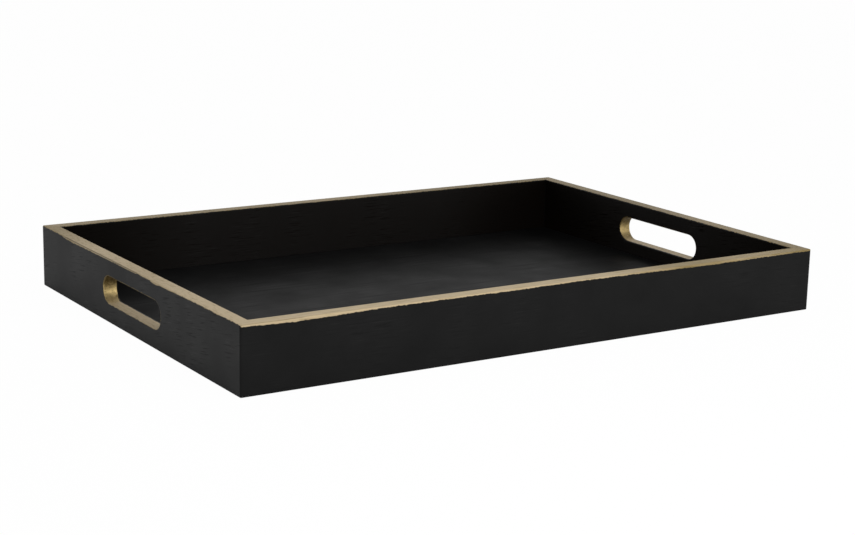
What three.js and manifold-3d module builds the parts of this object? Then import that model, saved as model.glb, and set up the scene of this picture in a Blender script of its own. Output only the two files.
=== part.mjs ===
// A serving tray of painted wood. Two long sides and two ends are mitred at the corners and
// rabbeted along the bottom for a thin plywood base, and a hand slot goes through each end.
// Sunk brads pin the mitres, and short brads driven from below hold the base in its rabbet.
//
// Millimetres, +Z up. The origin is the middle of the underside, and +X runs along the tray.

import * as THREE from "three";
import { mergeVertices } from "three/addons/utils/BufferGeometryUtils.js";
import Module from "manifold-3d";

// Overall size
const LENGTH = 500; // outside, along X
const WIDTH = 350; // outside, along Y
const HEIGHT = 49; // underside to rim
const WALL = 11; // thickness of the sides and the ends

// Sanded edges
const EDGE_EASE = 0.8; // radius along the rim and along the foot
const CORNER_EASE = 1.4; // radius down the four outside corners
const SLOT_EASE = 0.8; // radius round the mouths of the hand slots

// Hand slots, midway along the ends, with half-round ends
const SLOT_LENGTH = 102;
const SLOT_HEIGHT = 21;
const SLOT_RISE = 0.7; // above the middle of the ends' height

// Base panel and the rabbet that takes it
const PANEL = 3.6; // plywood thickness
const PANEL_RECESS = 0.4; // underside of the panel above the foot of the sides
const RABBET_WIDTH = 5; // how far the panel reaches into the walls

// Clearances
const GLUE_LINE = 0.2; // between the two faces of a glued joint
const BRAD_FIT = 0.2; // round a brad in its hole

// Brads
const BRAD_SHANK = 1.2; // diameter
const BRAD_HEAD = 2; // diameter
const BRAD_HEAD_THICKNESS = 0.6;
const BRAD_POINT = 2; // length of the point
const CORNER_BRAD_LENGTH = 25;
const CORNER_BRAD_SINK = 1; // head below the outside of the end, under filler and paint
const CORNER_BRAD_INSET = 14; // from the rim and from the foot
const BASE_BRAD_LENGTH = 10;
const SIDE_BRADS = 4; // along each long side of the base
const FLANK_BRADS = 2; // on each side of a hand slot, along the ends of the base
const BRAD_MARGIN = 18; // from an inside corner, or from the end of a hand slot

// Facets
const EASE_STEPS = 4; // in a quarter round, which is twice the curve segments that it is given
const SLOT_STEPS = 24; // in the half round at a slot's end
const BRAD_SIDES = 8;

// How far a cutter runs past what it cuts
const OVERSHOOT = 2;

const RABBET_HEIGHT = PANEL_RECESS + PANEL + GLUE_LINE;

const paintedWood = new THREE.MeshStandardMaterial({ color: 0x262625, roughness: 0.5, metalness: 0 });
const paintedPly = new THREE.MeshStandardMaterial({ color: 0x2b2b2a, roughness: 0.4, metalness: 0 });
const brightSteel = new THREE.MeshStandardMaterial({ color: 0xa9aaab, roughness: 0.35, metalness: 1 });

const wasm = await Module();
wasm.setup();

// A closed geometry as a solid that can be joined and cut.
function solid(geometry) {
  const bare = geometry.clone();
  bare.deleteAttribute("normal");
  bare.deleteAttribute("uv");
  const merged = mergeVertices(bare);
  const vertProperties = merged.attributes.position.array;
  const triVerts = new Uint32Array(merged.index.array);
  return new wasm.Manifold(new wasm.Mesh({ numProp: 3, vertProperties, triVerts }));
}

// A solid as a geometry with flat facets.
function facets(made) {
  const mesh = made.getMesh();
  const shared = new THREE.BufferGeometry();
  shared.setAttribute("position", new THREE.BufferAttribute(mesh.vertProperties, 3));
  shared.setIndex(new THREE.BufferAttribute(mesh.triVerts, 1));
  const flat = shared.toNonIndexed();
  flat.computeVertexNormals();
  return flat;
}

function named(name, geometry, material) {
  const mesh = new THREE.Mesh(geometry, material);
  mesh.name = name;
  return mesh;
}

// Evenly spaced values from low to high.
function spread(count, low, high) {
  const step = (high - low) / (count - 1);
  return Array.from({ length: count }, (_, i) => low + i * step);
}

// A board's section: x is the depth from its outside face and y the height. The foot, the rim's
// outer edge and the rim's inner edge are eased, and the rabbet is cut from the inner bottom edge.
function boardSection() {
  const ease = EDGE_EASE;
  const quarter = Math.PI / 2;
  const section = new THREE.Shape();
  section.absarc(ease, ease, ease, 2 * quarter, 3 * quarter, false);
  section.lineTo(WALL - RABBET_WIDTH, 0);
  section.lineTo(WALL - RABBET_WIDTH, RABBET_HEIGHT);
  section.lineTo(WALL, RABBET_HEIGHT);
  section.absarc(WALL - ease, HEIGHT - ease, ease, 0, quarter, false);
  section.absarc(ease, HEIGHT - ease, ease, quarter, 2 * quarter, false);
  section.closePath();
  return section;
}

// A board's plan: x runs along the board and y into the tray from the outside face. Both ends are
// mitred, set back by half the glue line, and the corner's round is shared with the next board.
function boardPlan(length) {
  const end = length / 2;
  const round = CORNER_EASE;
  const setBack = (GLUE_LINE / 2) * Math.SQRT2;
  const lost = Math.asin(setBack / (round * Math.SQRT2));
  const inner = WALL + OVERSHOOT;
  const plan = new THREE.Shape();
  plan.absarc(round - end, round, round, 1.25 * Math.PI + lost, 1.5 * Math.PI, false);
  plan.absarc(end - round, round, round, 1.5 * Math.PI, 1.75 * Math.PI - lost, false);
  plan.lineTo(end - inner - setBack, inner);
  plan.lineTo(inner + setBack - end, inner);
  plan.closePath();
  return plan;
}

// A board in its own frame: centred along x, with its outside face at y = 0 and its foot at z = 0.
function board(length) {
  const run = new THREE.ExtrudeGeometry(boardSection(), {
    depth: length,
    bevelEnabled: false,
    curveSegments: EASE_STEPS / 2,
  });
  const axes = [new THREE.Vector3(0, 1, 0), new THREE.Vector3(0, 0, 1), new THREE.Vector3(1, 0, 0)];
  run.applyMatrix4(new THREE.Matrix4().makeBasis(...axes));
  run.translate(-length / 2, 0, 0);
  const mitred = new THREE.ExtrudeGeometry(boardPlan(length), {
    depth: HEIGHT + 2 * OVERSHOOT,
    bevelEnabled: false,
    curveSegments: EASE_STEPS / 2,
  });
  mitred.translate(0, 0, -OVERSHOOT);
  return solid(run).intersect(solid(mitred));
}

// A ring with straight top and bottom runs and half-round ends, at a depth y in a board.
function slotRing(radius, y) {
  const reach = (SLOT_LENGTH - SLOT_HEIGHT) / 2;
  const ring = [];
  for (const side of [1, -1]) {
    for (let i = 0; i <= SLOT_STEPS; i++) {
      const turn = (i / SLOT_STEPS - 0.5) * Math.PI;
      const x = side * (reach + radius * Math.cos(turn));
      const z = HEIGHT / 2 + SLOT_RISE + side * radius * Math.sin(turn);
      ring.push(new THREE.Vector3(x, y, z));
    }
  }
  return ring;
}

// A closed skin over like rings, in order along +y, with a fan over the first and the last.
function loft(rings) {
  const count = rings[0].length;
  const last = (rings.length - 1) * count;
  const index = [];
  for (let k = 0; k < last; k += count) {
    for (let i = 0; i < count; i++) {
      const next = (i + 1) % count;
      index.push(k + i, k + count + i, k + next);
      index.push(k + next, k + count + i, k + count + next);
    }
  }
  for (let i = 1; i < count - 1; i++) {
    index.push(0, i, i + 1);
    index.push(last, last + i + 1, last + i);
  }
  return new THREE.BufferGeometry().setFromPoints(rings.flat()).setIndex(index);
}

// The cutter for a hand slot: straight through the board, flaring to a quarter round at each face.
function slotCutter() {
  const radius = SLOT_HEIGHT / 2;
  const mouth = [];
  for (let i = 0; i <= EASE_STEPS; i++) {
    const turn = (i / EASE_STEPS) * (Math.PI / 2);
    mouth.push({ depth: SLOT_EASE * (1 - Math.sin(turn)), flare: SLOT_EASE * (1 - Math.cos(turn)) });
  }
  const outside = { depth: -OVERSHOOT, flare: SLOT_EASE };
  const half = [outside, ...mouth.reverse()];
  const rings = half.map(({ depth, flare }) => slotRing(radius + flare, depth));
  const far = half.map(({ depth, flare }) => slotRing(radius + flare, WALL - depth));
  return loft([...rings, ...far.reverse()]);
}

// A brad along +y from the outside of its head, or with grow the hole that clears it all round.
function brad(length, grow = 0) {
  const shank = BRAD_SHANK / 2 + grow;
  const head = BRAD_HEAD / 2 + grow;
  const profile = [
    new THREE.Vector2(0, -grow),
    new THREE.Vector2(head, -grow),
    new THREE.Vector2(head, BRAD_HEAD_THICKNESS + grow),
    new THREE.Vector2(shank, BRAD_HEAD_THICKNESS + grow),
    new THREE.Vector2(shank, length - BRAD_POINT),
    new THREE.Vector2(0, length + grow),
  ];
  return new THREE.LatheGeometry(profile, BRAD_SIDES);
}

// Where the corner brads enter an end, in the end's own frame: along x and up z.
function cornerBradPlaces() {
  const heights = { lower: CORNER_BRAD_INSET, upper: HEIGHT - CORNER_BRAD_INSET };
  const across = (WIDTH - WALL) / 2;
  return Object.entries(heights).flatMap(([level, z]) => [
    { level, side: -1, x: -across, z },
    { level, side: 1, x: across, z },
  ]);
}

// Where the base brads stand along a long side, and along an end, clear of its hand slot.
function sideBradPlaces() {
  const reach = LENGTH / 2 - WALL - BRAD_MARGIN;
  return spread(SIDE_BRADS, -reach, reach);
}

function endBradPlaces() {
  const near = SLOT_LENGTH / 2 + BRAD_MARGIN;
  const far = WIDTH / 2 - WALL - BRAD_MARGIN;
  return [...spread(FLANK_BRADS, -far, -near), ...spread(FLANK_BRADS, near, far)];
}

// The holes for base brads at these places along a board, or along an edge of the panel.
function baseBradHoles(places) {
  return places.map((x) => {
    const hole = brad(BASE_BRAD_LENGTH, BRAD_FIT);
    hole.rotateX(Math.PI / 2);
    hole.translate(x, WALL - RABBET_WIDTH / 2, PANEL_RECESS);
    return hole;
  });
}

// The holes that the corner brads make in a long side, entering from both of its ends.
function cornerHolesInSide() {
  return cornerBradPlaces().map(({ side, z }) => {
    const hole = brad(CORNER_BRAD_LENGTH, BRAD_FIT);
    hole.rotateZ((side * Math.PI) / 2);
    hole.translate(side * (LENGTH / 2 - CORNER_BRAD_SINK), WALL / 2, z);
    return hole;
  });
}

// The holes that the corner brads make in an end, starting below its outside face.
function cornerHolesInEnd() {
  return cornerBradPlaces().map(({ x, z }) => {
    const hole = brad(CORNER_BRAD_LENGTH, BRAD_FIT);
    hole.translate(x, CORNER_BRAD_SINK, z);
    return hole;
  });
}

function cut(made, cutters) {
  return cutters.reduce((left, cutter) => left.subtract(solid(cutter)), made);
}

function longSide() {
  return facets(cut(board(LENGTH), [...cornerHolesInSide(), ...baseBradHoles(sideBradPlaces())]));
}

function handleEnd() {
  const holes = [...cornerHolesInEnd(), ...baseBradHoles(endBradPlaces())];
  return facets(cut(board(WIDTH), [slotCutter(), ...holes]));
}

// The four walls, each with the turn and the place that its own frame has in the tray.
const WALLS = {
  front: { turn: 0, x: 0, y: -WIDTH / 2, places: sideBradPlaces() },
  rear: { turn: Math.PI, x: 0, y: WIDTH / 2, places: sideBradPlaces() },
  left: { turn: -Math.PI / 2, x: -LENGTH / 2, y: 0, places: endBradPlaces() },
  right: { turn: Math.PI / 2, x: LENGTH / 2, y: 0, places: endBradPlaces() },
};

function wallFrame(wall) {
  const { turn, x, y } = WALLS[wall];
  const frame = new THREE.Group();
  frame.rotation.z = turn;
  frame.position.set(x, y, 0);
  frame.updateMatrix();
  return frame;
}

// The panel fills the rabbet, less the glue line, and has a hole for every base brad.
function basePanel() {
  const margin = WALL - RABBET_WIDTH + GLUE_LINE;
  const sheet = new THREE.BoxGeometry(LENGTH - 2 * margin, WIDTH - 2 * margin, PANEL);
  sheet.translate(0, 0, PANEL_RECESS + PANEL / 2);
  const holes = Object.keys(WALLS).flatMap((wall) => {
    const { matrix } = wallFrame(wall);
    return baseBradHoles(WALLS[wall].places).map((hole) => hole.applyMatrix4(matrix));
  });
  return facets(cut(solid(sheet), holes));
}

// The brads that a wall carries: those of the base, and on an end those of its two corners.
function baseBrads(wall) {
  return WALLS[wall].places.map((x, i) => {
    const pin = named(`base_brad_${wall}_${i + 1}`, brad(BASE_BRAD_LENGTH), brightSteel);
    pin.rotation.x = Math.PI / 2;
    pin.position.set(x, WALL - RABBET_WIDTH / 2, PANEL_RECESS);
    return pin;
  });
}

function cornerBrads(wall) {
  const frontSide = wall === "left" ? 1 : -1;
  return cornerBradPlaces().map(({ level, side, x, z }) => {
    const corner = side === frontSide ? "front" : "rear";
    const pin = named(`corner_brad_${corner}_${wall}_${level}`, brad(CORNER_BRAD_LENGTH), brightSteel);
    pin.position.set(x, CORNER_BRAD_SINK, z);
    return pin;
  });
}

const tray = new THREE.Group();
tray.add(named("base_panel", basePanel(), paintedPly));
for (const wall of ["front", "rear"]) {
  const frame = wallFrame(wall);
  frame.add(named(`${wall}_side`, longSide(), paintedWood), ...baseBrads(wall));
  tray.add(frame);
}
for (const wall of ["left", "right"]) {
  const frame = wallFrame(wall);
  frame.add(named(`${wall}_end`, handleEnd(), paintedWood), ...baseBrads(wall), ...cornerBrads(wall));
  tray.add(frame);
}

export default tray;
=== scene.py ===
"""A serving tray of black painted wood with a gilded rim: boards, base, brads, paint and stage."""

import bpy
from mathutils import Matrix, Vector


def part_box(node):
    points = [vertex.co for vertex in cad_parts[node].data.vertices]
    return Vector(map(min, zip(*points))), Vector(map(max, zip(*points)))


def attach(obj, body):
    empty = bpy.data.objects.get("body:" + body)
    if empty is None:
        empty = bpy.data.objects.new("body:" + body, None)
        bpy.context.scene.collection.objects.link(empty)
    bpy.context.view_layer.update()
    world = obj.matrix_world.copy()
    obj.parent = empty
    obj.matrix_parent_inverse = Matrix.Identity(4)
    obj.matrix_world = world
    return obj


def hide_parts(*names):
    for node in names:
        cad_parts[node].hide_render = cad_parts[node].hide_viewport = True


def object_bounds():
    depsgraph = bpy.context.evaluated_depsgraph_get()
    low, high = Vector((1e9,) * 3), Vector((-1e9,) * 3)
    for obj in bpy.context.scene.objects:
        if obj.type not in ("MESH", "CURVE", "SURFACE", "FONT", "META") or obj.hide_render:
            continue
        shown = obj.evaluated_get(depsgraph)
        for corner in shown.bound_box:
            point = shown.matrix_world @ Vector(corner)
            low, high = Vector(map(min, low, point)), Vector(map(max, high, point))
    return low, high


bl_info = {
    "name": "Gilded Serving Tray",
    "version": (1, 0, 0),
    "blender": (4, 5, 0),
    "location": "3D View > Sidebar > Tray",
    "description": "Finishes a mitred wooden tray with paint, gilding, brads and a pale studio",
    "category": "Object",
}

import math
from collections import namedtuple

import bpy
import numpy as np
from bpy.props import FloatProperty, FloatVectorProperty, PointerProperty
from mathutils import Matrix, Vector

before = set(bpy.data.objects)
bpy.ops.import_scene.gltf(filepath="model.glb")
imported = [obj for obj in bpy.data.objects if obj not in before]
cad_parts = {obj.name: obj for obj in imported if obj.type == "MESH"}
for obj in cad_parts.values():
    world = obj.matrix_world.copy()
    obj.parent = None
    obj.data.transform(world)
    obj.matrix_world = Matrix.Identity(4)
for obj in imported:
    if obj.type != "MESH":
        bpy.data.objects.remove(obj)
CAD_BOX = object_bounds()

MM = 0.001
BODY = "root"


def linear(code):
    """An sRGB hex colour as the linear values that shaders take."""
    shares = [int(code[i : i + 2], 16) / 255 for i in (0, 2, 4)]
    return tuple(c / 12.92 if c <= 0.04045 else ((c + 0.055) / 1.055) ** 2.4 for c in shares)


TRAY_LENGTH, TRAY_WIDTH, HEIGHT = CAD_BOX[1] - CAD_BOX[0]
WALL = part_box("front_side")[1].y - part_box("front_side")[0].y
PANEL_LOW, PANEL_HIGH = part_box("base_panel")
CORNER_BRADS = sorted(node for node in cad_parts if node.startswith("corner_brad"))
BASE_BRADS = sorted(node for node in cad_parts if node.startswith("base_brad"))


class TraySizes(bpy.types.PropertyGroup):
    """Sizes of the boards and the paint that the frame's boxes don't give."""

    edge_ease: FloatProperty(
        name="Edge ease",
        description="Radius along the rim and the foot",
        default=0.8 * MM,
        unit="LENGTH",
    )
    corner_ease: FloatProperty(
        name="Corner ease",
        description="Radius down the outside corners",
        default=1.4 * MM,
        unit="LENGTH",
    )
    slot_length: FloatProperty(
        name="Slot length",
        description="Hand slot from end to end",
        default=102 * MM,
        unit="LENGTH",
    )
    slot_height: FloatProperty(
        name="Slot height",
        description="Hand slot from bottom to top",
        default=21 * MM,
        unit="LENGTH",
    )
    slot_rise: FloatProperty(
        name="Slot rise",
        description="Middle of the hand slot above the middle of the wall",
        default=0.7 * MM,
        unit="LENGTH",
    )
    slot_ease: FloatProperty(
        name="Slot ease",
        description="Radius round the slot's mouths",
        default=0.8 * MM,
        unit="LENGTH",
    )
    rabbet_width: FloatProperty(
        name="Rabbet width",
        description="How far the base reaches into a wall",
        default=5 * MM,
        unit="LENGTH",
    )
    rabbet_height: FloatProperty(
        name="Rabbet height",
        description="Top of the rabbet above the foot",
        default=4.2 * MM,
        unit="LENGTH",
    )
    corner_bead: FloatProperty(
        name="Corner bead",
        description="Radius of the paint that fills the inside corners",
        default=0.6 * MM,
        unit="LENGTH",
    )
    floor_bead: FloatProperty(
        name="Floor bead",
        description="Radius of the paint that fills the floor's edge",
        default=0.15 * MM,
        unit="LENGTH",
    )


class TrayFinish(bpy.types.PropertyGroup):
    """Colours of the paints and the metal, and the scale of their marks."""

    black: FloatVectorProperty(
        name="Black",
        description="Black paint",
        subtype="COLOR",
        default=linear("050505"),
    )
    inside_black: FloatVectorProperty(
        name="Inside black",
        description="Black paint on the inside faces, where it lies thinner and the wood warms it",
        subtype="COLOR",
        default=linear("0a0705"),
    )
    worn: FloatVectorProperty(
        name="Worn black",
        description="Black paint rubbed thin along the grain",
        subtype="COLOR",
        default=linear("0b0b0a"),
    )
    gold: FloatVectorProperty(
        name="Gold",
        description="Gold paint where it lies thick",
        subtype="COLOR",
        default=linear("bba886"),
    )
    # Burnished gold is also a painted highlight: a brighter colour at the slots' round ends
    burnished: FloatVectorProperty(
        name="Burnished gold",
        description="Gold paint rubbed to a metallic shine",
        subtype="COLOR",
        default=linear("ccb47c"),
    )
    # Bronze is also painted shade where the thin mark darkens the far rims and the slots' upper faces
    bronze: FloatVectorProperty(
        name="Bronze",
        description="Gold paint where it lies thin over the black",
        subtype="COLOR",
        default=linear("85734a"),
    )
    steel: FloatVectorProperty(
        name="Steel",
        description="Drawn wire of the brads",
        subtype="COLOR",
        default=linear("b4b5b6"),
    )
    streak: FloatProperty(
        name="Streak",
        description="Thickness of the dashes of the grain",
        default=1 * MM,
        unit="LENGTH",
    )
    streak_length: FloatProperty(
        name="Streak length",
        description="Length of the dashes of the grain",
        default=19 * MM,
        unit="LENGTH",
    )
    slope: FloatProperty(
        name="Slope",
        description="Turn of the grain on the faces of the end boards",
        subtype="ANGLE",
        default=math.radians(-9),
    )
    ragged: FloatProperty(
        name="Ragged edge",
        description="Swing of the gold paint's edge",
        default=0.5 * MM,
        unit="LENGTH",
    )


class TrayStage(bpy.types.PropertyGroup):
    """The camera, the paper it stands on and the light."""

    camera_place: FloatVectorProperty(
        name="Camera",
        description="Place of the lens",
        subtype="TRANSLATION",
        default=(-0.7623, -1.1933, 0.3537),
    )
    yaw: FloatProperty(
        name="Yaw",
        description="Turn of the view from +Y towards +X",
        subtype="ANGLE",
        default=math.radians(32.717),
    )
    pitch: FloatProperty(
        name="Pitch",
        description="Tilt of the view below the horizon",
        subtype="ANGLE",
        default=math.radians(13.094),
    )
    roll: FloatProperty(
        name="Roll",
        description="Turn of the view about the line of sight",
        subtype="ANGLE",
        default=math.radians(1.298),
    )
    lens: FloatProperty(
        name="Lens",
        description="Focal length in millimetres on a sensor 36 mm wide",
        default=76.93,
    )
    paper: FloatVectorProperty(
        name="Paper",
        description="Floor and backdrop",
        subtype="COLOR",
        default=linear("f4f4f4"),
    )
    lamp_place: FloatVectorProperty(
        name="Lamp",
        description="Place of the soft lamp",
        subtype="TRANSLATION",
        default=(-0.05, -0.85, 0.6),
    )
    lamp_size: FloatProperty(
        name="Lamp size",
        description="Side of the soft lamp",
        default=0.6,
        unit="LENGTH",
    )
    lamp_power: FloatProperty(
        name="Lamp power",
        description="Power of the soft lamp in watts",
        default=5.5,
        unit="POWER",
    )
    fill: FloatProperty(
        name="Fill",
        description="Strength of the light from all round",
        default=0.5,
    )
    ceiling: FloatProperty(
        name="Ceiling",
        description="Brightness overhead in a gloss, against the walls of the room",
        default=0.3,
    )


# Arrays of points and meshes

# A distance that counts as none, the turn from which an edge is sharp, the signs of a rectangle's corners
# and the steps of a quarter round
NEAR = 0.1 * MM
SHARP_TURN = math.radians(30)
CORNERS = np.array([(-1, -1), (1, -1), (1, 1), (-1, 1)])
EASE_STEPS = 6


def arc(centre, radius, start, stop, steps):
    """Points on a circle about centre, from angle start to angle stop in degrees."""
    turn = np.radians(np.linspace(start, stop, steps + 1))
    return np.array(centre) + radius * np.stack([np.cos(turn), np.sin(turn)], axis=1)


def upright(depth, heights):
    """Points of one depth at these heights."""
    return np.stack([np.full(len(heights), depth), heights], axis=1)


def way_along(outline):
    """The length of an outline up to each of its points."""
    steps = np.hypot(*np.diff(outline, axis=0).T)
    return np.concatenate([[0], np.cumsum(steps)])


def rectangle_rings(half_x, half_y, levels):
    """Rings of four corners each, anticlockwise from above, of these half sizes and levels."""
    sizes = np.stack([half_x, half_y], axis=-1)[:, None, :]
    level = np.broadcast_to(np.asarray(levels)[:, None, None], (len(half_x), 4, 1))
    return np.concatenate([CORNERS * sizes, level], axis=-1)


def numbered(grid, first=0):
    """The number of each point of a grid, counted from first."""
    return first + np.arange(grid[..., 0].size).reshape(grid.shape[:-1])


def band(loops):
    """Quads between neighbouring loops of point numbers, each loop closed on itself."""
    first, second = loops[:-1], loops[1:]
    return np.stack([first, second, np.roll(second, -1, 1), np.roll(first, -1, 1)], axis=-1)


def end_caps(loops):
    """Faces that close the first and the last of a row of loops."""
    return [loops[0], loops[-1, ::-1]]


def mesh_piece(name, points, quads, caps=(), **marks):
    """A smooth mesh object at the origin from arrays of points, quads and end caps, with a value of
    each mark on every point. Edges that turn by more than SHARP_TURN stay sharp."""
    mesh = bpy.data.meshes.new(name)
    faces = quads.reshape(-1, 4).tolist() + [cap.tolist() for cap in caps]
    mesh.from_pydata(points.reshape(-1, 3).tolist(), [], faces)
    if mesh.validate():
        raise RuntimeError(f"{name} has broken faces")
    mesh.shade_smooth()
    mesh.set_sharp_from_angle(angle=SHARP_TURN)
    for label, values in marks.items():
        mark = mesh.attributes.new(label, "FLOAT", "POINT")
        mark.data.foreach_set("value", np.asarray(values, dtype=np.float32).ravel())
    piece = bpy.data.objects.new(name, mesh)
    bpy.context.scene.collection.objects.link(piece)
    return piece


def place(piece, material, slot, *nodes):
    """Gives a piece its material and its body, and hides the nodes that it stands for. The slot is not
    used.
    """
    piece.data.materials.append(material)
    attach(piece, BODY)
    if nodes:
        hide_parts(*nodes)


# Boards of the wall

# Steps of the outside corners' rounds, and rows and columns of the boards' grids
CORNER_STEPS = 6
FACE_ROWS = 14
RIM_COLUMNS = 7
WINDOW_COLUMNS = 48
OUTER_COLUMNS = 16
SIDE_COLUMNS = 90

# The window of the grid that frames a slot: its margin beyond the slot's ends, and its distance from the
# foot and from the rim
WINDOW_MARGIN = 18 * MM
WINDOW_LOW = 6 * MM
WINDOW_DROP = 4.5 * MM

# Where the even columns stop short of a board's ends, how far closer columns lie from the round of an
# outside corner and closer rows from the rim's ease, and where the slot's rings lie, as shares of the way
# from the window to the mouth and of the way through the board
END_CLEAR = 25 * MM
END_ROWS = np.array([0.4, 1.5, 4]) * MM
RIM_ROWS = np.array([2.4, 1.2, 0.4]) * MM
FACE_SHARES = np.array([0.4, 0.75, 0.93])
SLOT_SHARES = np.array([0.05, 0.35, 0.65, 0.95])

# Marks on a board's points for its gold paint. The thin and dull marks also carry painted shade, and
# the last one a painted highlight
GOLD_MARKS = ("gilding", "thin", "dull", "burnish_and_highlight")

# How far from the outside mouth the gold of a slot begins and how far from the inside one it stops, in
# millimetres, and how thin and how dull it is, from 0 to 1. Each goes from the slot's bottom at -1 round
# its end to the top at 1. Thin and dull are high towards the top, a painted shade on the slot's upper face.
SLOT_GOLD_START = ((-1, 0.55), (-0.5, 0.15), (1, 0.1))
SLOT_GOLD_STOP = ((-1, 1.9), (-0.7, 1.2), (0, 0.5), (1, 0.1))
SLOT_GOLD_THIN_AND_SHADE = ((-1, 0), (-0.75, 0.5), (-0.3, 0), (0, 0.1), (0.3, 0.85), (1, 1))
SLOT_GOLD_DULL_AND_SHADE = ((-1, 0.05), (-0.85, 0.25), (-0.5, 0), (0.2, 0), (0.5, 0.3), (1, 0.4))

# How far the brush carried the gold below the rim's outer ease, in millimetres, at places from left to
# right as a board is faced. A negative drop ends on the ease.
GOLD_DROPS = {
    "front_board": (
        (-250, 0.4), (-232, 1.1), (-209, 1.6), (-190, 1.3), (-170, 0.9), (-152, 0.3), (-100, 0.2),
        (-20, 0.4), (20, -0.1), (60, 0.2), (100, 0.6), (150, 1.1), (180, 0.8), (250, 0.3),
    ),
    "right_board": ((-175, 0.2), (-120, 0.8), (-40, 0.3), (-20, -0.5), (60, -0.3), (80, 1), (175, 0.4)),
    "rear_board": ((-250, 0.3), (-180, 0.9), (-90, 0.2), (-20, -0.4), (40, 0.5), (150, 1), (250, -0.4)),
    "left_board": (
        (-175, -0.5), (-132, -0.5), (-127, 0.6), (-105, 0.7), (-60, 0.3), (9, 0.2), (12, -1), (15, -0.2),
        (35, -0.3), (38, 0.9), (45, 0.7), (50, 0.2), (68, 0.1), (88, -0.5), (175, -0.5),
    ),
}

# Where the gold lies thin, from 0 to 1, at places along a board. Partly thin gold and partly a painted
# shade that darkens the rear and right rims, the left rim's far end and the front rim's right part
RIM_GOLD_THIN_AND_SHADE = {
    "front_board": ((-250, 0), (50, 0), (120, 0.8), (150, 0.8), (175, 0.5), (210, 0.6), (250, 1)),
    "right_board": ((-175, 0.8), (-60, 0.4), (40, 0.7), (175, 0.5)),
    "rear_board": ((-250, 1), (-120, 0.8), (0, 0.4), (60, 0.6), (250, 0.4)),
    "left_board": ((-175, 0.8), (-150, 0.7), (-75, 0), (-20, 0.1), (15, 0.3), (75, 0), (175, 0)),
}

# The share of the rim's inner ease that stays black
INNER_EASE_BLACK = 0.6

# Stretches where the arris above the brush's lap is darker, with the black showing through the gold, from
# place to place along a board, how dark it is there, and how much black darkens the whole rim, which on the
# right and rear rims is a painted shade
DARK_ARRIS_AND_RIM_SHADE = {
    "front_board": (-255, -200, 0.4, 0),
    "right_board": (-130, -45, 0.7, 0.24),
    "rear_board": (60, 170, 0.7, 0.14),
    "left_board": (-130, 12, 0.85, 0),
}

# How far the dullness takes to come up along a stretch and to fade beside the arris, in millimetres
DULL_RUN = 4
DULL_FADE = 0.5

# How much the gloss of a board's inside face is raised or lowered, at distances in millimetres from an
# inside corner: a painted shade that darkens the inside corners and a painted sheen along the middle
INSIDE_SHEEN_AND_SHADE = ((0, -0.8), (55, -0.45), (120, 0.2))


def wall_section(sizes):
    """A board's outline, closed, as depth behind its outside face and height: up the outside, over
    the rim, down the inside to the rabbet, along it and back under the foot. The rim and the foot's
    outer edge are quarter rounds."""
    ease, ledge, back = sizes.edge_ease, sizes.rabbet_height, WALL - sizes.rabbet_width
    rows = np.linspace(WINDOW_LOW, HEIGHT - WINDOW_DROP, FACE_ROWS)
    rows = np.concatenate([rows, HEIGHT - ease - RIM_ROWS])
    top = np.linspace(ease, WALL - ease, RIM_COLUMNS)[1:-1]
    return np.concatenate([
        arc((ease, ease), ease, 270, 180, EASE_STEPS),
        upright(0, np.append(ease + RIM_ROWS[-1], rows)),
        arc((ease, HEIGHT - ease), ease, 180, 90, EASE_STEPS),
        upright(HEIGHT, top)[:, ::-1],
        arc((WALL - ease, HEIGHT - ease), ease, 90, 0, EASE_STEPS),
        upright(WALL, rows[::-1]),
        [(WALL, ledge), (back, ledge), (back, 0)],
    ])


def swept_wall(section, half, corner, middle):
    """A board's points on a grid of stations along it and points of its outline, as distance along,
    depth and height, and each point's run. A point at depth d runs straight until the round of the
    outside corner begins, then follows a circle of radius corner minus d up to the mitre at 45
    degrees. Where the depth is more than the corner's radius it runs straight to the mitre."""
    depth, height = section.T
    radius = np.maximum(corner - depth, 0)
    bend = half - np.maximum(corner, depth)
    to_mitre = corner * np.linspace(0, math.pi / 4, CORNER_STEPS + 1)
    to_mitre = np.append(to_mitre, to_mitre[-1] + END_ROWS)
    ends = bend + radius * math.pi / 4 - to_mitre[::-1, None]
    run = np.concatenate([-ends[::-1], middle[:, None] + 0 * depth, ends])
    past = np.maximum(np.abs(run) - bend, 0)
    turn = np.divide(past, radius, out=np.zeros_like(past), where=radius > 0)
    along = np.sign(run) * (np.minimum(np.abs(run), bend) + radius * np.sin(turn))
    inward = depth + radius * (1 - np.cos(turn))
    return np.stack([along, inward, height + 0 * along], axis=-1), run


def rim_gilding(name, section, ease, run):
    """The gold marks of a board's grid: how far each point lies inside the gold of the rim, in
    millimetres along the outline, how thin the gold is there, how dull and how burnished. Thin and
    dull also carry a painted shade that darkens the rear and right rims and parts of the others. The
    gold ends on the inner ease and near the lower edge of the outer one, where the brush's drop says,
    and it is darker along the middle of the outer ease in stretches. The rim isn't burnished."""
    way = way_along(section) / MM
    eased = np.flatnonzero(section[:, 1] >= HEIGHT - ease - NEAR)
    quarter = math.pi / 2 * ease / MM
    start, stop = way[eased[0]], way[eased[-1]] - INNER_EASE_BLACK * quarter
    along = run / MM
    drop = np.interp(along, *zip(*GOLD_DROPS[name]))
    thin = np.interp(along, *zip(*RIM_GOLD_THIN_AND_SHADE[name]))
    # The last column is a painted shade over the whole rim, on the right and rear rims
    low, high, depth, rim_shade = DARK_ARRIS_AND_RIM_SHADE[name]
    worn = np.clip(np.minimum(along - low, high - along) / DULL_RUN, 0, 1)
    arris = np.clip(1 - np.abs(way - start - quarter / 2) / DULL_FADE, 0, 1)
    dull = rim_shade + depth * worn * arris
    return np.minimum(way - start + drop, stop - way), thin, dull, 0 * dull


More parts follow.
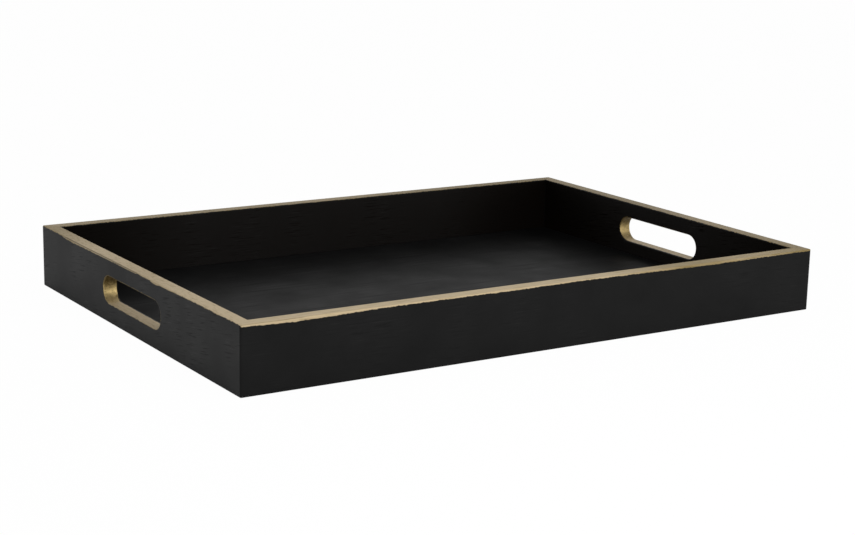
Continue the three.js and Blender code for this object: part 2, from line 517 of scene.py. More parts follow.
def slot_gilding(profile, face, outward):
    """The gold marks of a slot's rings, as rim_gilding gives those of the rim. Profile is the outline of
    offset and depth through the board, face the offsets of the rings on its faces and outward the
    direction from the slot's middle to each point of a ring. Thin and dull darken the upper face, a
    painted shade. The gold is burnished, with a painted highlight, from 0 on the straight to 1 at the
    slot's tip."""
    way = way_along(profile) / MM
    rise = outward[:, 1]
    start, stop, thin, dull = (
        np.interp(rise, *zip(*places))
        for places in (SLOT_GOLD_START, SLOT_GOLD_STOP, SLOT_GOLD_THIN_AND_SHADE, SLOT_GOLD_DULL_AND_SHADE)
    )
    through = np.minimum(way[:, None] - start, (way[-1] - way)[:, None] - stop)
    short = (profile[0, 0] - face) / MM
    gilded = np.concatenate([short - start, through, short[::-1] - stop])
    return gilded, *(mark + 0 * gilded for mark in (thin, dull, np.abs(outward[:, 0])))


def slot_tube(sizes, loop):
    """The rings of a hand slot, between the loops of the outside and inside faces that frame it, and
    their gold marks. Each ring is the loop's own points carried to the nearest place on a stadium: the
    straight middle of the slot swollen by an offset. The offset shrinks over the face, turns in round
    the mouth's ease, stays through the board and comes out again."""
    ease, radius = sizes.slot_ease, sizes.slot_height / 2
    reach = sizes.slot_length / 2 - radius
    level = HEIGHT / 2 + sizes.slot_rise
    flat = loop[:, [0, 2]] - np.array([0, level])
    spine = np.stack([np.clip(flat[:, 0], -reach, reach), 0 * flat[:, 0]], axis=1)
    distance = np.linalg.norm(flat - spine, axis=1)
    outward = (flat - spine) / distance[:, None]
    mouth = arc((radius + ease, ease), ease, 270, 180, EASE_STEPS)
    through = upright(radius, ease + (WALL - 2 * ease) * SLOT_SHARES)
    profile = np.concatenate([mouth, through, mouth[::-1] * (1, -1) + (0, WALL)])
    face = distance + (profile[0, 0] - distance) * FACE_SHARES[:, None]
    offset = np.concatenate([face, profile[:, :1] + 0 * distance, face[::-1]])
    inner = np.full(len(FACE_SHARES), WALL)
    depth = np.concatenate([0 * inner, profile[:, 1], inner])[:, None] + 0 * distance
    ring = spine + outward * offset[..., None]
    rings = np.stack([ring[..., 0], depth, ring[..., 1] + level], axis=-1)
    return rings, slot_gilding(profile, face, outward)


def framing_loop(numbers, rows, columns):
    """Point numbers round a window of the grid, up its first column and back along its lowest row."""
    first, last = columns[0], columns[-1]
    return np.concatenate([
        numbers[first, rows[:-1]],
        numbers[first:last, rows[-1]],
        numbers[last, rows[:0:-1]],
        numbers[last:first:-1, rows[0]],
    ])


def window_rows(section, depth):
    """Numbers of the outline's points that frame the slot at this depth, from the lowest up."""
    level = section[:, 1]
    framed = (level > WINDOW_LOW - NEAR) & (level < HEIGHT - WINDOW_DROP + NEAR)
    rows = np.flatnonzero(framed & np.isclose(section[:, 0], depth))
    return rows[np.argsort(level[rows])]


def cut_slot(sizes, section, columns, numbers, points, quads, marks):
    """A board's points, quads and marks with a window of these columns taken out of both faces and the
    rings of the slot put between the two frames."""
    kept = np.ones(quads.shape[:2], dtype=bool)
    frames = []
    for depth in (0, WALL):
        rows = window_rows(section, depth)
        kept[columns[0] : columns[-1], rows.min() : rows.max()] = False
        frames.append(framing_loop(numbers, rows, columns))
    outside, inside = frames
    rings, slot_marks = slot_tube(sizes, points[outside])
    tube = band(np.concatenate([outside[None], numbered(rings, numbers.size), inside[None]]))
    points = np.concatenate([points, rings.reshape(-1, 3)])
    quads = np.concatenate([quads[kept], tube.reshape(-1, 4)])
    return points, quads, [np.append(rim, slot) for rim, slot in zip(marks, slot_marks)]


def inside_sheen_and_shade(points, half):
    """How much a point of the inside face has its gloss raised or lowered: a share that grows with its
    distance along the board from the inside corner, a painted shade near it and a painted sheen further on."""
    distance = (half - WALL - np.abs(points[:, 0])) / MM
    return np.interp(distance, *zip(*INSIDE_SHEEN_AND_SHADE))


def turned(points, reach, quarter):
    """Points of a board, given along, inward and up, in the tray's own frame. The board stands at
    distance reach from the middle, turned by quarter turns from the front."""
    plan = (points[..., 0] + 1j * (points[..., 1] - reach)) * 1j**quarter
    return np.stack([plan.real, plan.imag, points[..., 2]], axis=-1)


def make_board(name, sizes, half, reach, quarter, slotted=False):
    """One mitred board with its paints marked, and a hand slot through it if it is slotted."""
    section = wall_section(sizes)
    edge = half - END_CLEAR
    window = sizes.slot_length / 2 + WINDOW_MARGIN
    middle = np.linspace(-edge, edge, SIDE_COLUMNS)
    if slotted:
        wing = np.linspace(window, edge, OUTER_COLUMNS)
        framed = np.linspace(-window, window, WINDOW_COLUMNS)[1:-1]
        middle = np.concatenate([-wing[::-1], framed, wing])
    grid, run = swept_wall(section, half, sizes.corner_ease, middle)
    numbers, points = numbered(grid), grid.reshape(-1, 3)
    quads = band(numbers)
    marks = rim_gilding(name, section, sizes.edge_ease, run)
    if slotted:
        columns = np.flatnonzero(np.abs(run[:, 0]) < window + NEAR)
        points, quads, marks = cut_slot(sizes, section, columns, numbers, points, quads, marks)
    named = dict(zip(GOLD_MARKS, marks))
    named["inside"] = np.isclose(points[:, 1], WALL)
    # The rubbed mark is a painted shade in the inside corners and a painted sheen along the middle of the
    # inside faces
    named["rubbed"] = named["inside"] * inside_sheen_and_shade(points, half)
    return mesh_piece(name, turned(points, reach, quarter), quads, end_caps(numbers), **named)


# Base, beads and brads

# The radius of the panel's edges, how far a bead's back is sunk in the wood, and how far below the rim's
# ease a corner bead ends
PANEL_EASE = 0.3 * MM
BEAD_SUNK = 0.1 * MM
BEAD_BELOW_EASE = 1 * MM

# Points round a brad, the diameters of its shank and tip, the heights of its point, head and crown, and the
# degrees that the crown turns before its flat middle
BRAD_TURNS = 24
BRAD_SHANK = 1.2 * MM
BRAD_TIP = 0.1 * MM
BRAD_POINT = 2 * MM
BRAD_HEAD_THICKNESS = 0.6 * MM
BRAD_CROWN = 0.2 * MM
CROWN_TURN = 80


def make_floor():
    """The base panel: a rectangle whose edges are quarter rounds, carried from its top to its underside."""
    ease = PANEL_EASE
    half_x, half_y, thickness = PANEL_HIGH.x, PANEL_HIGH.y, PANEL_HIGH.z - PANEL_LOW.z
    upper = arc((-ease, -ease), ease, 90, 0, EASE_STEPS)
    profile = np.concatenate([upper, (upper * (1, -1) - (0, thickness))[::-1]])
    rings = rectangle_rings(half_x + profile[:, 0], half_y + profile[:, 0], PANEL_HIGH.z + profile[:, 1])
    numbers = numbered(rings)
    return mesh_piece("tray_floor", rings, band(numbers), end_caps(numbers))


def bead_outline(radius):
    """A hollow quarter round in a corner, with its back sunk a little into the wood."""
    sunk = BEAD_SUNK
    hollow = arc((radius, radius), radius, 270, 180, EASE_STEPS)
    return np.concatenate([hollow, [(-sunk, radius), (-sunk, -sunk), (radius, -sunk)]])


def make_beads(sizes):
    """Paint that fills the inside corners, carried round the floor's edge and up each of the four
    corners of the walls."""
    outline = bead_outline(sizes.floor_bead)
    half_x, half_y = TRAY_LENGTH / 2 - WALL, TRAY_WIDTH / 2 - WALL
    loop = rectangle_rings(half_x - outline[:, 0], half_y - outline[:, 0], PANEL_HIGH.z + outline[:, 1])
    around = numbered(loop)
    quads = [band(np.append(around, around[:1], axis=0)).reshape(-1, 4)]
    points, caps = [loop.reshape(-1, 3)], []
    levels = np.array([HEIGHT - sizes.edge_ease - BEAD_BELOW_EASE, PANEL_HIGH.z])[:, None]
    outline = bead_outline(sizes.corner_bead)
    plan = outline[:, 0] + 1j * outline[:, 1]
    for quarter, (side_x, side_y) in enumerate(CORNERS):
        corner = plan * 1j**quarter + half_x * side_x + 1j * half_y * side_y
        post = np.stack(np.broadcast_arrays(corner.real, corner.imag, levels), axis=-1)
        numbers = numbered(post, sum(map(len, points)))
        quads.append(band(numbers).reshape(-1, 4))
        points.append(post.reshape(-1, 3))
        caps += end_caps(numbers)
    return mesh_piece("paint_beads", np.concatenate(points), np.concatenate(quads), caps)


def make_base_brads():
    """The brads under the base, each an outline of radius and height turned round the axis of its
    node: point, shank, and a head whose crown, part of an ellipse, stands a little below the base."""
    boxes = np.array([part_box(node) for node in BASE_BRADS])
    low, high = boxes[0, :, 2]
    head = (boxes[0, 1, 0] - boxes[0, 0, 0]) / 2
    shank, dome = BRAD_SHANK / 2, BRAD_HEAD_THICKNESS / 2
    outline = np.concatenate([
        [(BRAD_TIP / 2, high), (shank, high - BRAD_POINT), (shank, low + BRAD_HEAD_THICKNESS)],
        arc((head - dome, low + dome), dome, 90, 0, EASE_STEPS)[:-1],
        arc((0, 0), 1, 0, -CROWN_TURN, EASE_STEPS) * (head, dome + BRAD_CROWN) + (0, low + dome),
    ])
    turn = np.exp(2j * math.pi * np.arange(BRAD_TURNS) / BRAD_TURNS)
    ring = outline[:, :1] * turn
    centres = boxes[:, :, :2].mean(axis=1)
    plan = ring + (centres[:, 0] + 1j * centres[:, 1])[:, None, None]
    level = np.broadcast_to(outline[:, 1:], plan.shape)
    points = np.stack([plan.real, plan.imag, level], axis=-1)
    numbers = numbered(points)
    quads = np.concatenate([band(brad).reshape(-1, 4) for brad in numbers])
    caps = [cap for brad in numbers for cap in end_caps(brad)]
    return mesh_piece("base_brads", points, quads, caps)


# Finishes

# Sockets of a Mix node: the factor, then the two inputs and the output for colours and for values
FACTOR = 0
FIRST, SECOND, MIXED = 6, 7, 2
FIRST_VALUE, SECOND_VALUE, MIXED_VALUE = 2, 3, 0

WHITE = (1, 1, 1, 1)
STRAIGHT = (0, 0, 0)
PAINT_IOR = 1.45

# How black paint lies: the specular level and the roughness where nothing marks it, the shares of the gloss
# that a dash of the grain and a soft cloud take or add, and how much larger than life the dashes are drawn
Coat = namedtuple("Coat", "gloss matt marked cloudy coarse")
SIDE_COAT = Coat(gloss=0.19, matt=0.44, marked=0.2, cloudy=0.12, coarse=1)
END_COAT = SIDE_COAT._replace(marked=0.48)
PANEL_COAT = Coat(gloss=0.25, matt=0.58, marked=0.5, cloudy=0.28, coarse=4)
# The beads keep little gloss, so the inside corners stay dark: a painted shade
BEAD_COAT = PANEL_COAT._replace(gloss=0.05)

# Sizes of the clouds, the wandering of the gold's edge, its nicks and the scratches on wire, and the depths
# of the grain and the scratches under the strength of their relief
CLOUD_SIZE = 40 * MM
SWAY_SIZE = 16 * MM
NICK_SIZE = 2 * MM
SCRATCH_SIZE = 0.3 * MM
GRAIN_DEPTH = 0.05 * MM
SCRATCH_DEPTH = 0.02 * MM
RELIEF = 0.3

# Values of a noise: where nearly all of it lies, where clouds let the grain show, and where fibres turn to
# pores, to ridges and to strokes of the brush
NOISE_LOW, NOISE_HIGH, NOISE_MIDDLE = 0.3, 0.7, 0.5
OPEN_GRAIN = (0.42, 0.6)
PORES = (0.56, 0.68)
RIDGES = (0.4, 0.25)
STROKES = (0.52, 0.7)

# How far clouds change the roughness of black paint, and the further share of the gloss that a dash takes
# or adds on the inside faces
MATT_SWING = 0.02
INSIDE_MARKED = 0.45

# How much of the ragged swing the hand and the nicks take, and half the width of the gold's soft edge in
# millimetres
SWAY_SHARE = 2
NICK_SHARE = 4.5
SOFT_EDGE = 0.12

# Gold paint: how thin it is between the strokes, how speckled and how metallic it is plain and how much
# more so burnished, its roughness and its specular level
STROKE_THIN = 0.5
SPECKLE, BURNISHED_SPECKLE = 0.55, 2.5
FLAKE, BURNISHED_FLAKE = 0.15, 0.5
GOLD_ROUGHNESS = 0.5
GOLD_GLOSS = 0.2

# How far from the tray's ends the panel's gloss falls, a painted shade beside the end walls, and the
# share of its gloss that is left there
PANEL_SHADE_REACH = 85 * MM
SHADED_END_GLOSS = 0.45

# Roughness of drawn wire where it is smoothest and where it is roughest
WIRE_SMOOTH, WIRE_ROUGH = 0.25, 0.42

# The share of plain white in the paper where it is seen straight and in a gloss
PAPER_SEEN = 0.98
PAPER_MIRRORED = 0.08


def add(tree, kind, inputs, **settings):
    """Adds a node with these settings, and sets or links each of its inputs."""
    node = tree.nodes.new(kind)
    for label, value in settings.items():
        setattr(node, label, value)
    for socket, value in inputs.items():
        if isinstance(value, bpy.types.NodeSocket):
            tree.links.new(value, node.inputs[socket])
        else:
            node.inputs[socket].default_value = value
    return node.outputs


def new_material(name):
    """An empty node material and its tree."""
    material = bpy.data.materials.new(name)
    material.use_nodes = True
    material.node_tree.nodes.clear()
    return material, material.node_tree


def opaque(colour):
    """A colour with full alpha, as sockets take it."""
    return (*colour, 1)


def close_surface(tree, height, depth, sockets):
    """Ends a material in one shader with these sockets, over a relief of this height and depth."""
    relief = add(
        tree,
        "ShaderNodeBump",
        {"Height": height, "Distance": depth, "Strength": RELIEF},
    )["Normal"]
    surface = add(tree, "ShaderNodeBsdfPrincipled", {**sockets, "Normal": relief})["BSDF"]
    add(tree, "ShaderNodeOutputMaterial", {"Surface": surface})


# What black paint gives to the nodes after it
Paint = namedtuple("Paint", "where fibres colour roughness sheen height")


def black_paint(tree, finish, lengthwise, lean, coat):
    """Coordinates, fibres, colour, roughness, gloss and height of black paint brushed on wood. The grain
    runs along one axis and is turned by the angles of lean about the three axes. Where it shows through,
    its pores are short dark dashes with paler ridges beside them, and soft clouds change the sheen."""
    where = add(tree, "ShaderNodeTexCoord", {})["Object"]
    spread = [finish.streak * coat.coarse] * 3
    spread[lengthwise] = finish.streak_length * coat.coarse
    along = add(
        tree,
        "ShaderNodeMapping",
        {"Vector": where, "Rotation": lean, "Scale": spread},
        vector_type="TEXTURE",
    )["Vector"]
    fibres = add(
        tree,
        "ShaderNodeTexNoise",
        {"Vector": along, "Scale": 1, "Detail": 1.5, "Roughness": 0.5},
    )["Fac"]
    clouds = add(
        tree,
        "ShaderNodeTexNoise",
        {"Vector": where, "Scale": 1 / CLOUD_SIZE, "Detail": 3, "Roughness": 0.5},
    )["Fac"]
    open_grain = add(
        tree,
        "ShaderNodeMapRange",
        {"Value": clouds, "From Min": OPEN_GRAIN[0], "From Max": OPEN_GRAIN[1]},
        interpolation_type="SMOOTHSTEP",
    )["Result"]
    dashes = []
    for low, high in (PORES, RIDGES):
        dash = add(
            tree,
            "ShaderNodeMapRange",
            {"Value": fibres, "From Min": low, "From Max": high},
            interpolation_type="SMOOTHSTEP",
        )["Result"]
        dashes.append(add(tree, "ShaderNodeMath", {0: dash, 1: open_grain}, operation="MULTIPLY")["Value"])
    pores, ridges = dashes
    height = add(tree, "ShaderNodeMath", {0: ridges, 1: pores}, operation="SUBTRACT")["Value"]
    colour = add(
        tree,
        "ShaderNodeMix",
        {FACTOR: ridges, FIRST: opaque(finish.black), SECOND: opaque(finish.worn)},
        data_type="RGBA",
    )[MIXED]
    swing = coat.cloudy * coat.gloss
    sheen = add(
        tree,
        "ShaderNodeMapRange",
        {"Value": clouds, "From Min": NOISE_LOW, "From Max": NOISE_HIGH, "To Min": -swing, "To Max": swing},
    )["Result"]
    sheen = add(tree, "ShaderNodeMath", {0: sheen, 1: coat.gloss}, operation="ADD")["Value"]
    sheen = add(
        tree,
        "ShaderNodeMath",
        {0: height, 1: coat.marked * coat.gloss, 2: sheen},
        operation="MULTIPLY_ADD",
    )["Value"]
    roughness = add(
        tree,
        "ShaderNodeMapRange",
        {
            "Value": clouds,
            "From Min": NOISE_LOW,
            "From Max": NOISE_HIGH,
            "To Min": coat.matt + MATT_SWING,
            "To Max": coat.matt - MATT_SWING,
        },
    )["Result"]
    return Paint(where, fibres, colour, roughness, sheen, height)


def inside_paint(tree, finish, coat, paint, marks):
    """A board's black paint with its inside faces worked in: warmer there, with the grain more marked in
    the gloss, and with a painted shade that dulls the inside corners and a painted sheen along the middle."""
    colour = add(
        tree,
        "ShaderNodeMix",
        {FACTOR: marks["inside"], FIRST: paint.colour, SECOND: opaque(finish.inside_black)},
        data_type="RGBA",
    )[MIXED]
    grain = add(
        tree, "ShaderNodeMath", {0: paint.height, 1: marks["inside"]}, operation="MULTIPLY"
    )["Value"]
    sheen = add(
        tree,
        "ShaderNodeMath",
        {0: grain, 1: INSIDE_MARKED * coat.gloss, 2: paint.sheen},
        operation="MULTIPLY_ADD",
    )["Value"]
    # Painted shade and painted sheen: the rubbed mark lowers the gloss towards the inside corners and
    # raises it along the middle
    sheen = add(
        tree, "ShaderNodeMath", {0: sheen, 1: marks["rubbed"], 2: sheen}, operation="MULTIPLY_ADD"
    )["Value"]
    return paint._replace(colour=colour, sheen=sheen)


def gold_edge(tree, finish, where, gilding):
    """How far the gold covers the black, from 0 to 1, and the fray that its edge and its speckles follow.
    The edge wanders as a hand does, and small nicks break it."""
    swing = finish.ragged / MM
    sway = add(
        tree,
        "ShaderNodeTexNoise",
        {"Vector": where, "Scale": 1 / SWAY_SIZE, "Detail": 2, "Roughness": 0.5},
    )["Fac"]
    nicks = add(
        tree,
        "ShaderNodeTexNoise",
        {"Vector": where, "Scale": 1 / NICK_SIZE, "Detail": 4, "Roughness": 0.7},
    )["Fac"]
    wander = add(tree, "ShaderNodeMath", {0: sway, 1: -NOISE_MIDDLE}, operation="ADD")["Value"]
    fray = add(tree, "ShaderNodeMath", {0: nicks, 1: -NOISE_MIDDLE}, operation="ADD")["Value"]
    edge = add(
        tree, "ShaderNodeMath", {0: wander, 1: SWAY_SHARE * swing, 2: gilding}, operation="MULTIPLY_ADD"
    )["Value"]
    edge = add(
        tree, "ShaderNodeMath", {0: fray, 1: NICK_SHARE * swing, 2: edge}, operation="MULTIPLY_ADD"
    )["Value"]
    covered = add(
        tree,
        "ShaderNodeMapRange",
        {"Value": edge, "From Min": -SOFT_EDGE, "From Max": SOFT_EDGE},
        interpolation_type="SMOOTHSTEP",
    )["Result"]
    return covered, fray


def gold_paint(tree, finish, paint, fray, marks):
    """The colour of gold paint over black. It turns bronze where it lies thin and between the strokes of
    the brush, it is brighter and more speckled where it is burnished, and the black shows where it is
    dull. The bronze and the black also paint shade on the far rims and the slots' upper faces, and the
    burnished colour paints a highlight at the slots' round ends."""
    strokes = add(
        tree,
        "ShaderNodeMapRange",
        {
            "Value": paint.fibres,
            "From Min": STROKES[0],
            "From Max": STROKES[1],
            "To Min": 0,
            "To Max": STROKE_THIN,
        },
    )["Result"]
    brushed = add(tree, "ShaderNodeMath", {0: marks["thin"], 1: strokes}, operation="ADD")["Value"]
    speckle = add(
        tree,
        "ShaderNodeMath",
        {0: marks["burnish_and_highlight"], 1: BURNISHED_SPECKLE, 2: SPECKLE},
        operation="MULTIPLY_ADD",
    )["Value"]
    mottled = add(
        tree,
        "ShaderNodeMath",
        {0: fray, 1: speckle, 2: brushed},
        operation="MULTIPLY_ADD",
        use_clamp=True,
    )["Value"]
    colour = opaque(finish.gold)
    for share, other in (
        (marks["burnish_and_highlight"], opaque(finish.burnished)),
        (mottled, opaque(finish.bronze)),
        (marks["dull"], paint.colour),
    ):
        colour = add(
            tree, "ShaderNodeMix", {FACTOR: share, FIRST: colour, SECOND: other}, data_type="RGBA"
        )[MIXED]
    return colour


def painted_board(name, finish, lengthwise, lean, coat):
    """Black paint brushed on pine, satin with the grain showing through, and gold paint brushed along the
    rim and through the slots. The gold is soft and slightly metallic, and round the slots' ends, where
    it was rubbed, it is burnished and speckled, with a painted highlight in its brighter colour. The
    inside faces carry a painted shade in their corners and a painted sheen along the middle."""
    material, tree = new_material(name)
    marks = {
        label: add(tree, "ShaderNodeAttribute", {}, attribute_name=label)["Fac"]
        for label in (*GOLD_MARKS, "inside", "rubbed")
    }
    paint = black_paint(tree, finish, lengthwise, lean, coat)
    paint = inside_paint(tree, finish, coat, paint, marks)
    covered, fray = gold_edge(tree, finish, paint.where, marks["gilding"])
    gold = gold_paint(tree, finish, paint, fray, marks)
    colour = add(
        tree, "ShaderNodeMix", {FACTOR: covered, FIRST: paint.colour, SECOND: gold}, data_type="RGBA"
    )[MIXED]
    roughness, sheen = (
        add(
            tree,
            "ShaderNodeMix",
            {FACTOR: covered, FIRST_VALUE: black, SECOND_VALUE: gilt},
            data_type="FLOAT",
        )[MIXED_VALUE]
        for black, gilt in ((paint.roughness, GOLD_ROUGHNESS), (paint.sheen, GOLD_GLOSS))
    )
    flake = add(
        tree,
        "ShaderNodeMath",
        {0: marks["burnish_and_highlight"], 1: BURNISHED_FLAKE, 2: FLAKE},
        operation="MULTIPLY_ADD",
    )["Value"]
    metallic = add(tree, "ShaderNodeMath", {0: covered, 1: flake}, operation="MULTIPLY")["Value"]
    close_surface(tree, paint.height, GRAIN_DEPTH, {
        "Base Color": colour,
        "Roughness": roughness,
        "Metallic": metallic,
        "IOR": PAINT_IOR,
        "Specular IOR Level": sheen,
    })
    return material


def painted_panel(name, finish, coat):
    """Black paint brushed on plywood, duller than on the boards, with the veneer's grain along the tray.
    Its gloss falls towards the ends, a painted shade beside the end walls. The grain is drawn four
    times too coarse, because it is seen at a low angle, where real dashes are too fine to show."""
    material, tree = new_material(name)
    paint = black_paint(tree, finish, 0, STRAIGHT, coat)
    along = add(tree, "ShaderNodeSeparateXYZ", {"Vector": paint.where})["X"]
    along = add(tree, "ShaderNodeMath", {0: along}, operation="ABSOLUTE")["Value"]
    end = TRAY_LENGTH / 2 - WALL
    # Painted shade: the gloss falls towards the end walls
    end_shade = add(
        tree,
        "ShaderNodeMapRange",
        {
            "Value": along,
            "From Min": end - PANEL_SHADE_REACH,
            "From Max": end,
            "To Min": 1,
            "To Max": SHADED_END_GLOSS,
        },
        interpolation_type="SMOOTHSTEP",
    )["Result"]
    sheen = add(tree, "ShaderNodeMath", {0: paint.sheen, 1: end_shade}, operation="MULTIPLY")["Value"]
    close_surface(tree, paint.height, GRAIN_DEPTH, {
        "Base Color": paint.colour,
        "Roughness": paint.roughness,
        "IOR": PAINT_IOR,
        "Specular IOR Level": sheen,
    })
    return material


def drawn_wire(name, finish):
    """Bright steel wire drawn through a die: fine scratches and a soft, slightly uneven gloss."""
    material, tree = new_material(name)
    where = add(tree, "ShaderNodeTexCoord", {})["Object"]
    scratches = add(
        tree,
        "ShaderNodeTexNoise",
        {"Vector": where, "Scale": 1 / SCRATCH_SIZE, "Detail": 3, "Roughness": 0.6},
    )["Fac"]
    roughness = add(
        tree,
        "ShaderNodeMapRange",
        {
            "Value": scratches,
            "From Min": NOISE_LOW,
            "From Max": NOISE_HIGH,
            "To Min": WIRE_SMOOTH,
            "To Max": WIRE_ROUGH,
        },
    )["Result"]
    close_surface(tree, scratches, SCRATCH_DEPTH, {
        "Base Color": opaque(finish.steel),
        "Metallic": 1,
        "Roughness": roughness,
    })
    return material


def seen(tree, path, straight, mirrored):
    """The share of plain white for rays of each kind: straight for those from the camera or through
    glass, mirrored for those off a gloss, and none for light that only falls."""
    clear = add(
        tree,
        "ShaderNodeMath",
        {0: path["Is Camera Ray"], 1: path["Is Transmission Ray"]},
        operation="MAXIMUM",
    )["Value"]
    gloss = add(
        tree, "ShaderNodeMath", {0: path["Is Glossy Ray"], 1: mirrored}, operation="MULTIPLY"
    )["Value"]
    return add(
        tree, "ShaderNodeMath", {0: clear, 1: straight, 2: gloss}, operation="MULTIPLY_ADD"
    )["Value"]


def white_paper(name, stage):
    """Matt white paper. Where it is seen it is nearly plain white, with a little of its shading left,
    so that the tray keeps a faint shadow. A gloss shows more of the shading."""
    material, tree = new_material(name)
    path = add(tree, "ShaderNodeLightPath", {})
    shaded = add(tree, "ShaderNodeBsdfDiffuse", {"Color": opaque(stage.paper)})["BSDF"]
    plain = add(tree, "ShaderNodeEmission", {"Color": WHITE, "Strength": 1})["Emission"]
    share = seen(tree, path, PAPER_SEEN, PAPER_MIRRORED)
    surface = add(tree, "ShaderNodeMixShader", {0: share, 1: shaded, 2: plain})["Shader"]
    add(tree, "ShaderNodeOutputMaterial", {"Surface": surface})
    return material


# Operators

# Half the side of the paper in metres, and the width of the camera's sensor in millimetres
PAPER_REACH = 5
SENSOR_WIDTH = 36

# How steeply a ray rises where the walls of the room begin to turn into its ceiling and where they have
CEILING_FROM, CEILING_TO = 0.3, 0.75


class TRAY_OT_floor(bpy.types.Operator):
    """Makes the painted base panel"""

    bl_idname = "tray.floor"
    bl_label = "Floor"

    def execute(self, context):
        material = painted_panel("black_paint_on_plywood", context.scene.tray_finish, PANEL_COAT)
        place(make_floor(), material, "painted_ply", "base_panel")
        return {"FINISHED"}


class TRAY_OT_boards(bpy.types.Operator):
    """Makes the two long boards and the two end boards with their hand slots"""

    bl_idname = "tray.boards"
    bl_label = "Boards"

    def execute(self, context):
        sizes, finish = context.scene.tray_sizes, context.scene.tray_finish
        length, width = TRAY_LENGTH / 2, TRAY_WIDTH / 2
        lean = (finish.slope, 0, 0)
        side_paint = painted_board("gilded_paint_on_long_pine", finish, 0, STRAIGHT, SIDE_COAT)
        end_paint = painted_board("gilded_paint_on_short_pine", finish, 1, lean, END_COAT)
        front = make_board("front_board", sizes, length, width, 0)
        right = make_board("right_board", sizes, width, length, 1, slotted=True)
        rear = make_board("rear_board", sizes, length, width, 2)
        left = make_board("left_board", sizes, width, length, 3, slotted=True)
        place(front, side_paint, "painted_wood", "front_side")
        place(right, end_paint, "painted_wood", "right_end")
        place(rear, side_paint, "painted_wood", "rear_side")
        place(left, end_paint, "painted_wood", "left_end")
        return {"FINISHED"}


class TRAY_OT_beads(bpy.types.Operator):
    """Fills the inside corners with paint"""

    bl_idname = "tray.beads"
    bl_label = "Paint beads"

    def execute(self, context):
        material = painted_panel("black_paint_bead", context.scene.tray_finish, BEAD_COAT)
        place(make_beads(context.scene.tray_sizes), material, "painted_wood")
        return {"FINISHED"}


class TRAY_OT_brads(bpy.types.Operator):
    """Makes the brads under the base and gives the corner brads their metal"""

    bl_idname = "tray.brads"
    bl_label = "Brads"

    def execute(self, context):
        material = drawn_wire("drawn_steel_wire", context.scene.tray_finish)
        place(make_base_brads(), material, "brad_steel", *BASE_BRADS)
        for node in CORNER_BRADS:
            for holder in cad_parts[node].material_slots:
                holder.material = material
        return {"FINISHED"}


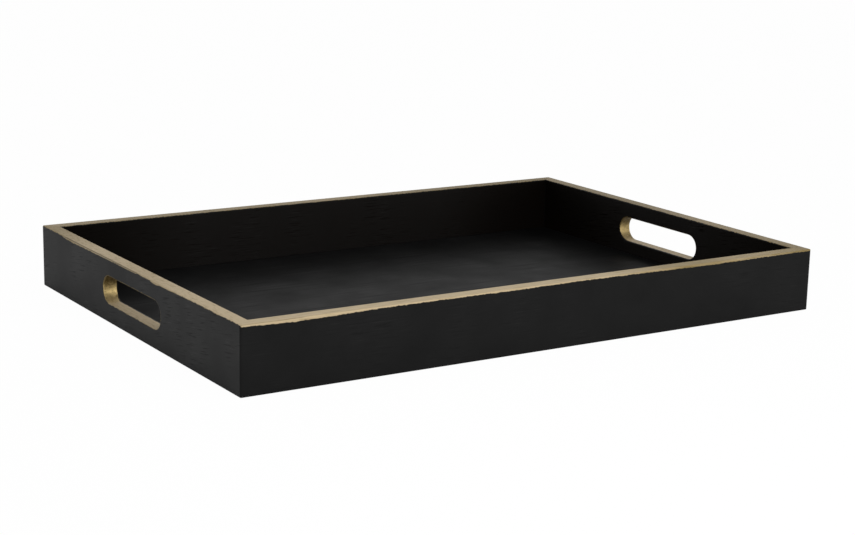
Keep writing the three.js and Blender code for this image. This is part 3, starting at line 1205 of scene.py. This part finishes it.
class TRAY_OT_stage(bpy.types.Operator):
    """Sets up the paper, the lamp, the light from all round and the camera"""

    bl_idname = "tray.stage"
    bl_label = "Stage"

    def execute(self, context):
        stage, scene = context.scene.tray_stage, context.scene
        scene.view_settings.view_transform = "Standard"
        self.lay_paper(stage)
        self.hang_lamp(stage)
        self.light_round(stage)
        self.aim_camera(stage)
        return {"FINISHED"}

    def lay_paper(self, stage):
        """A wide flat sheet under the tray."""
        reach = np.array([PAPER_REACH])
        rings = rectangle_rings(reach, reach, [0])
        paper = mesh_piece("paper", rings, numbered(rings))
        paper.data.materials.append(white_paper("matt_white_paper", stage))

    def hang_lamp(self, stage):
        """A square soft lamp aimed at the middle of the tray."""
        lamp = bpy.data.lights.new("soft_lamp", "AREA")
        lamp.size = stage.lamp_size
        lamp.energy = stage.lamp_power
        holder = bpy.data.objects.new("soft_lamp", lamp)
        holder.location = stage.lamp_place
        aim = Vector((0, 0, HEIGHT)) - Vector(stage.lamp_place)
        holder.rotation_euler = aim.to_track_quat("-Z", "Y").to_euler()
        holder.visible_camera = False
        bpy.context.scene.collection.objects.link(holder)

    def light_round(self, stage):
        """White all round where it is seen, with a dimmer ceiling in a gloss, and a weaker fill where
        it only lights."""
        world = bpy.data.worlds.new("white_room")
        world.use_nodes = True
        tree = world.node_tree
        tree.nodes.clear()
        path = add(tree, "ShaderNodeLightPath", {})
        way = add(tree, "ShaderNodeTexCoord", {})["Generated"]
        rise = add(tree, "ShaderNodeSeparateXYZ", {"Vector": way})["Z"]
        room = add(
            tree,
            "ShaderNodeMapRange",
            {
                "Value": rise,
                "From Min": CEILING_FROM,
                "From Max": CEILING_TO,
                "To Min": 1,
                "To Max": stage.ceiling,
            },
            interpolation_type="SMOOTHSTEP",
        )["Result"]
        unseen = add(
            tree,
            "ShaderNodeMix",
            {FACTOR: path["Is Glossy Ray"], FIRST_VALUE: stage.fill, SECOND_VALUE: room},
            data_type="FLOAT",
        )[MIXED_VALUE]
        strength = add(
            tree,
            "ShaderNodeMix",
            {FACTOR: seen(tree, path, 1, 0), FIRST_VALUE: unseen, SECOND_VALUE: 1},
            data_type="FLOAT",
        )[MIXED_VALUE]
        white = add(tree, "ShaderNodeBackground", {"Color": WHITE, "Strength": strength})
        add(tree, "ShaderNodeOutputWorld", {"Surface": white["Background"]})
        bpy.context.scene.world = world

    def aim_camera(self, stage):
        """A camera turned by yaw and pitch, then rolled about its line of sight."""
        yaw, pitch = stage.yaw, stage.pitch
        level = math.cos(pitch)
        ahead = Vector((math.sin(yaw) * level, math.cos(yaw) * level, -math.sin(pitch)))
        right = Vector((math.cos(yaw), -math.sin(yaw), 0))
        turn = Matrix((right, right.cross(ahead), -ahead)).transposed()
        lens = bpy.data.cameras.new("camera")
        lens.sensor_width = SENSOR_WIDTH
        lens.lens = stage.lens
        camera = bpy.data.objects.new("camera", lens)
        camera.matrix_world = (
            Matrix.Translation(stage.camera_place)
            @ (turn @ Matrix.Rotation(stage.roll, 3, "Z")).to_4x4()
        )
        bpy.context.scene.collection.objects.link(camera)
        bpy.context.scene.camera = camera


class TRAY_PT_maker(bpy.types.Panel):
    """Lists the tray's makers with their sizes and colours"""

    bl_idname = "TRAY_PT_maker"
    bl_label = "Serving Tray"
    bl_space_type = "VIEW_3D"
    bl_region_type = "UI"
    bl_category = "Tray"

    def draw(self, context):
        for operator in OPERATORS:
            self.layout.operator(operator.bl_idname)
        for label, group in GROUPS.items():
            box = self.layout.box()
            values = getattr(context.scene, label)
            for name in group.__annotations__:
                box.prop(values, name)


OPERATORS = (TRAY_OT_floor, TRAY_OT_boards, TRAY_OT_beads, TRAY_OT_brads, TRAY_OT_stage)
GROUPS = {"tray_sizes": TraySizes, "tray_finish": TrayFinish, "tray_stage": TrayStage}


def register():
    """Registers the classes and puts the property groups on the scene."""
    for kind in (*GROUPS.values(), *OPERATORS, TRAY_PT_maker):
        bpy.utils.register_class(kind)
    for label, group in GROUPS.items():
        setattr(bpy.types.Scene, label, PointerProperty(type=group))


def unregister():
    """Takes the property groups off the scene and unregisters the classes."""
    for label in GROUPS:
        delattr(bpy.types.Scene, label)
    for kind in (TRAY_PT_maker, *reversed(OPERATORS), *reversed(GROUPS.values())):
        bpy.utils.unregister_class(kind)


def main():
    """Makes the tray and its stage."""
    register()
    bpy.ops.tray.floor()
    bpy.ops.tray.boards()
    bpy.ops.tray.beads()
    bpy.ops.tray.brads()
    bpy.ops.tray.stage()


if __name__ == "__main__":
    main()
